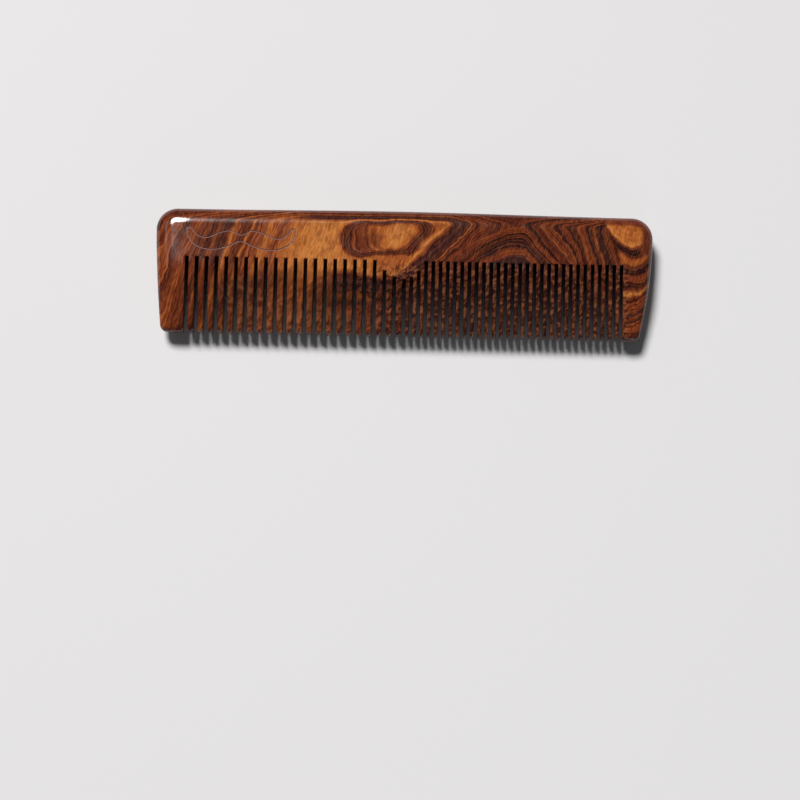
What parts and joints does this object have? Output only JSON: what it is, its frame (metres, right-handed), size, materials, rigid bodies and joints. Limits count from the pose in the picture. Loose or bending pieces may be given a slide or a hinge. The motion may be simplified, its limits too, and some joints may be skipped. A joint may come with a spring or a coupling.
{
  "type": "beard comb",
  "caption": "Pocket-length wooden beard comb with coarse teeth in one half and fine teeth in the other, thick rounded spine and wide end guards.",
  "frame": {"origin": "under the middle of the comb's box, on the plane of its flat back", "axes": "the comb lies on its flat back: +X along its length from the coarse teeth to the fine teeth, +Y from the tooth tips to the spine, +Z out of the engraved front face"},
  "size_m": [0.1651, 0.0423, 0.012],
  "materials": {
    "hardwood": "polished, figured dark brown and golden hardwood"
  },
  "bodies": {
    "root": {"comb_body": "hardwood"}
  },
  "joints": []
}
